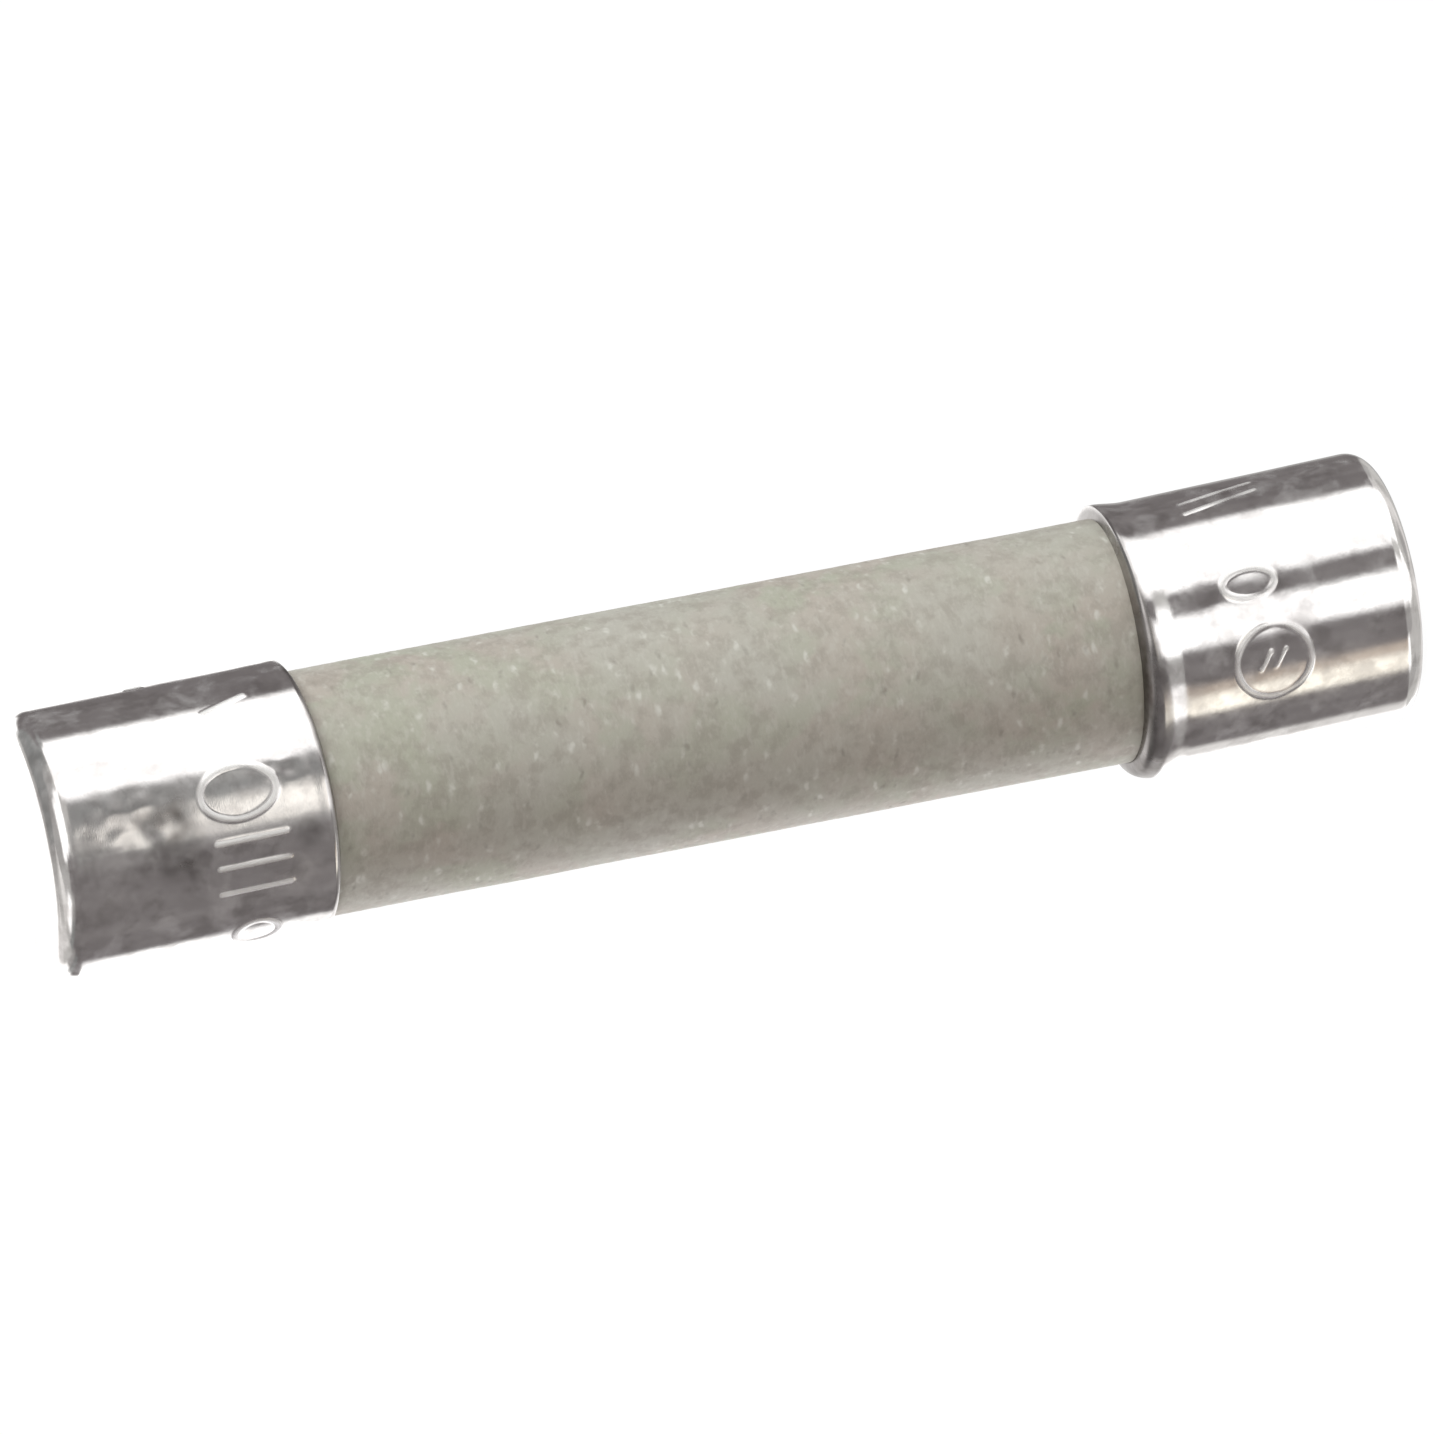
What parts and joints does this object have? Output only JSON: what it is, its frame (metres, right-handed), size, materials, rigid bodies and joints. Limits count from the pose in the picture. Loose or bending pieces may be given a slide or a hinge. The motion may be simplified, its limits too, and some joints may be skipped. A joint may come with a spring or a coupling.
{
  "type": "time delay fuse",
  "caption": "Slow-acting cartridge fuse: a ceramic tube with a drawn metal cap on each end, and a stretched spring, heat sink and wound heater inside.",
  "frame": {"origin": "centre of the lower cap's end face, on which the fuse stands", "axes": "+Z along the fuse's axis, from the lower cap to the upper cap; X and Y are free by symmetry"},
  "size_m": [0.0064, 0.0064, 0.0325],
  "materials": {
    "nickel_plated_brass": "bright nickel plate, slightly dented",
    "ceramic_body": "matte, unglazed, fine speckle",
    "solder": "dull tin-lead solder",
    "trip_alloy": "low-melting alloy, satin",
    "spring_steel": "drawn spring wire",
    "turned_brass": "turned",
    "glass_fibre": "matte fibre rod",
    "resistance_wire": "drawn resistance wire"
  },
  "bodies": {
    "root": {"ceramic_tube": "ceramic_body", "upper_cap": "nickel_plated_brass", "lower_cap": "nickel_plated_brass", "upper_solder": "solder", "lower_solder": "solder", "tension_spring": "spring_steel", "trip_alloy": "trip_alloy", "heat_sink": "turned_brass", "heater_core": "glass_fibre", "heater_winding": "resistance_wire"}
  },
  "joints": []
}
